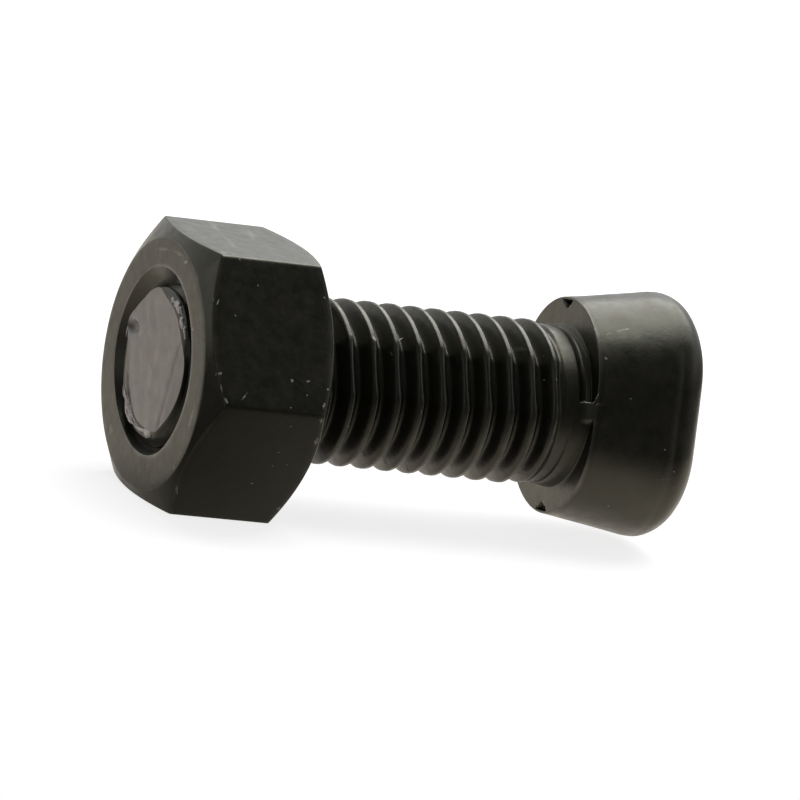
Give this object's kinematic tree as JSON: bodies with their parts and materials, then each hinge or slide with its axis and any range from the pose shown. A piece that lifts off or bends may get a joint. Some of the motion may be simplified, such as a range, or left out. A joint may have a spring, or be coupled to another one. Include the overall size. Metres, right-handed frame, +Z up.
{
  "type": "oval head bolt with hex nut",
  "caption": "Short oval head bolt with a flared head, a coarse right-hand thread along the shank and a chamfered hex nut at its end, in black oxide steel.",
  "frame": {"origin": "centre of the bearing face under the head, on the bolt's axis", "axes": "+X along the bolt from the nut to the head, +Z up when it lies on one flat of the nut"},
  "size_m": [0.0346, 0.0182, 0.0158],
  "materials": {
    "black_steel": "black oxide, satin, slightly oily",
    "black_nut_steel": "black oxide, satin, worn a little paler on its corners"
  },
  "bodies": {
    "bolt": {"bolt": "black_steel"},
    "nut": {"nut": "black_nut_steel"}
  },
  "joints": [
    {"name": "nut_travel", "type": "slide", "parent": "bolt", "child": "nut", "axis": [1, 0, 0], "range_m": [-0.0075, 0.015]}
  ]
}
